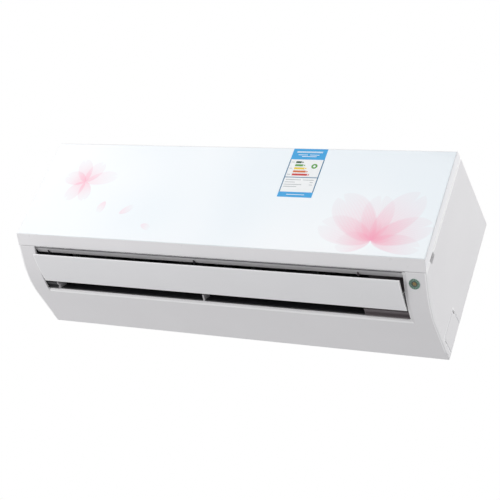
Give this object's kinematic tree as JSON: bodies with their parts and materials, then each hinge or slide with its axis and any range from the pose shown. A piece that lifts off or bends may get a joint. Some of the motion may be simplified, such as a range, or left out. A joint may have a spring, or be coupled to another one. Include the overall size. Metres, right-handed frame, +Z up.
{
  "type": "wall-mounted air-conditioner indoor unit",
  "caption": "Indoor unit of a split air conditioner: wall-hung casing with hinged glass front, tilting louver, linked vanes, cross-flow fan, coil, motors, controls and pipe stubs.",
  "frame": {"origin": "centre of the wall-screw pattern, on the plane of the wall", "axes": "+X to the right seen from the room, +Y into the wall, +Z up; the front faces -Y"},
  "size_m": [0.8, 0.2067, 0.2755],
  "materials": {
    "casing_plastic": "satin white moulded shell",
    "panel_plastic": "glossy white",
    "panel_glass": "white back-printed glass with a polished bevel",
    "louver_plastic": "satin light grey",
    "duct_plastic": "fine matt light grey",
    "vane_plastic": "matt dark grey",
    "chassis_plastic": "matt light grey",
    "fan_plastic": "matt dark grey glass-filled plastic",
    "pan_plastic": "matt pale grey",
    "fin_aluminium": "thin coated fins",
    "galvanised": "zinc-coated sheet",
    "steel": "bright steel",
    "copper": "drawn copper tube",
    "brass": "machined brass",
    "rubber": "matt black",
    "bronze": "sintered bronze",
    "board": "green circuit board",
    "terminal": "black moulding",
    "transformer": "varnished laminations",
    "lens": "tinted clear plastic, green-teal",
    "button": "white",
    "filter": "fine woven mesh on a frame",
    "sensor": "off-white clip with a bead",
    "painted": "pale grey resin-coated motor"
  },
  "bodies": {
    "casing": {"mounting_plate": "galvanised", "rear_chassis": "duct_plastic", "front_frame": "casing_plastic", "top_grille": "casing_plastic", "pipe_knockout_right": "casing_plastic", "pipe_knockout_left": "casing_plastic", "louver_motor": "terminal", "outlet_duct": "duct_plastic", "drain_pan": "pan_plastic", "drain_spout": "pan_plastic", "drain_plug": "rubber", "coil_front": "fin_aluminium", "coil_top": "fin_aluminium", "coil_rear": "fin_aluminium", "coil_end_plate_left": "galvanised", "coil_end_plate_right": "galvanised", "return_bends_left": "copper", "return_bends_right": "copper", "fan_bearing": "bronze", "bearing_holder": "rubber", "fan_motor": "painted", "motor_rubber_rings": "rubber", "motor_clamp": "chassis_plastic", "electrical_box": "chassis_plastic", "electrical_cover": "chassis_plastic", "control_board": "board", "transformer": "transformer", "terminal_block": "terminal", "receiver_lens": "lens", "receiver_board": "board", "button_switch": "terminal", "room_sensor": "sensor", "gas_pipe": "copper", "liquid_pipe": "copper", "gas_union": "brass", "liquid_union": "brass", "pipe_clamp": "chassis_plastic", "air_filter_left": "filter", "air_filter_right": "filter", "frame_screws": "steel"},
    "panel": {"front_panel": "panel_plastic", "panel_glass": "panel_glass"},
    "louver": {"main_louver": "louver_plastic"},
    "fan": {"cross_flow_fan": "fan_plastic", "fan_stub_shaft": "steel", "motor_shaft": "steel"},
    "button": {"emergency_button": "button"},
    "vane_left_1": {"vane_left_1": "vane_plastic"},
    "vane_left_2": {"vane_left_2": "vane_plastic"},
    "vane_left_3": {"vane_left_3": "vane_plastic"},
    "vane_left_4": {"vane_left_4": "vane_plastic"},
    "vane_left_5": {"vane_left_5": "vane_plastic"},
    "tie_left": {"tie_bar_left": "vane_plastic"},
    "vane_right_1": {"vane_right_1": "vane_plastic"},
    "vane_right_2": {"vane_right_2": "vane_plastic"},
    "vane_right_3": {"vane_right_3": "vane_plastic"},
    "vane_right_4": {"vane_right_4": "vane_plastic"},
    "vane_right_5": {"vane_right_5": "vane_plastic"},
    "tie_right": {"tie_bar_right": "vane_plastic"}
  },
  "joints": [
    {"name": "panel_hinge", "type": "hinge", "parent": "casing", "child": "panel", "pos_m": [0, -0.182, 0.1115], "axis": [-1, 0, 0], "range_deg": [0, 60]},
    {"name": "louver_tilt", "type": "hinge", "parent": "casing", "child": "louver", "pos_m": [0, -0.138, -0.122], "axis": [1, 0, 0], "range_deg": [-14.5, 60]},
    {"name": "fan_spin", "type": "hinge", "parent": "casing", "child": "fan", "pos_m": [0, -0.088, -0.032], "axis": [1, 0, 0], "continuous": true},
    {"name": "button_press", "type": "slide", "parent": "casing", "child": "button", "axis": [0, 1, 0], "range_m": [0, 0.0015], "stiffness_N_per_m": 300, "springref_m": -0.001},
    {"name": "vane_left_1_swing", "type": "hinge", "parent": "casing", "child": "vane_left_1", "pos_m": [-0.30275, -0.13712, -0.07303], "axis": [0, 0.729, -0.6845], "range_deg": [-33, 33]},
    {"name": "vane_left_2_swing", "type": "hinge", "parent": "casing", "child": "vane_left_2", "pos_m": [-0.24275, -0.13712, -0.07303], "axis": [0, 0.729, -0.6845], "range_deg": [-33, 33]},
    {"name": "vane_left_3_swing", "type": "hinge", "parent": "casing", "child": "vane_left_3", "pos_m": [-0.18275, -0.13712, -0.07303], "axis": [0, 0.729, -0.6845], "range_deg": [-33, 33]},
    {"name": "vane_left_4_swing", "type": "hinge", "parent": "casing", "child": "vane_left_4", "pos_m": [-0.12275, -0.13712, -0.07303], "axis": [0, 0.729, -0.6845], "range_deg": [-33, 33]},
    {"name": "vane_left_5_swing", "type": "hinge", "parent": "casing", "child": "vane_left_5", "pos_m": [-0.06275, -0.13712, -0.07303], "axis": [0, 0.729, -0.6845], "range_deg": [-33, 33]},
    {"name": "tie_left_link", "type": "hinge", "parent": "vane_left_3", "child": "tie_left", "pos_m": [-0.18275, -0.09674, -0.09722], "axis": [0, 0.729, -0.6845], "range_deg": [-33, 33]},
    {"name": "vane_right_1_swing", "type": "hinge", "parent": "casing", "child": "vane_right_1", "pos_m": [0.00675, -0.13712, -0.07303], "axis": [0, 0.729, -0.6845], "range_deg": [-33, 33]},
    {"name": "vane_right_2_swing", "type": "hinge", "parent": "casing", "child": "vane_right_2", "pos_m": [0.06675, -0.13712, -0.07303], "axis": [0, 0.729, -0.6845], "range_deg": [-33, 33]},
    {"name": "vane_right_3_swing", "type": "hinge", "parent": "casing", "child": "vane_right_3", "pos_m": [0.12675, -0.13712, -0.07303], "axis": [0, 0.729, -0.6845], "range_deg": [-33, 33]},
    {"name": "vane_right_4_swing", "type": "hinge", "parent": "casing", "child": "vane_right_4", "pos_m": [0.18675, -0.13712, -0.07303], "axis": [0, 0.729, -0.6845], "range_deg": [-33, 33]},
    {"name": "vane_right_5_swing", "type": "hinge", "parent": "casing", "child": "vane_right_5", "pos_m": [0.24675, -0.13712, -0.07303], "axis": [0, 0.729, -0.6845], "range_deg": [-33, 33]},
    {"name": "tie_right_link", "type": "hinge", "parent": "vane_right_3", "child": "tie_right", "pos_m": [0.12675, -0.09674, -0.09722], "axis": [0, 0.729, -0.6845], "range_deg": [-33, 33]}
  ],
  "couplings": [
    {"joint": "vane_left_1_swing", "follows": "vane_left_3_swing", "ratio": 1},
    {"joint": "vane_left_2_swing", "follows": "vane_left_3_swing", "ratio": 1},
    {"joint": "vane_left_4_swing", "follows": "vane_left_3_swing", "ratio": 1},
    {"joint": "vane_left_5_swing", "follows": "vane_left_3_swing", "ratio": 1},
    {"joint": "tie_left_link", "follows": "vane_left_3_swing", "ratio": -1},
    {"joint": "vane_right_1_swing", "follows": "vane_right_3_swing", "ratio": 1},
    {"joint": "vane_right_2_swing", "follows": "vane_right_3_swing", "ratio": 1},
    {"joint": "vane_right_4_swing", "follows": "vane_right_3_swing", "ratio": 1},
    {"joint": "vane_right_5_swing", "follows": "vane_right_3_swing", "ratio": 1},
    {"joint": "tie_right_link", "follows": "vane_right_3_swing", "ratio": -1}
  ]
}
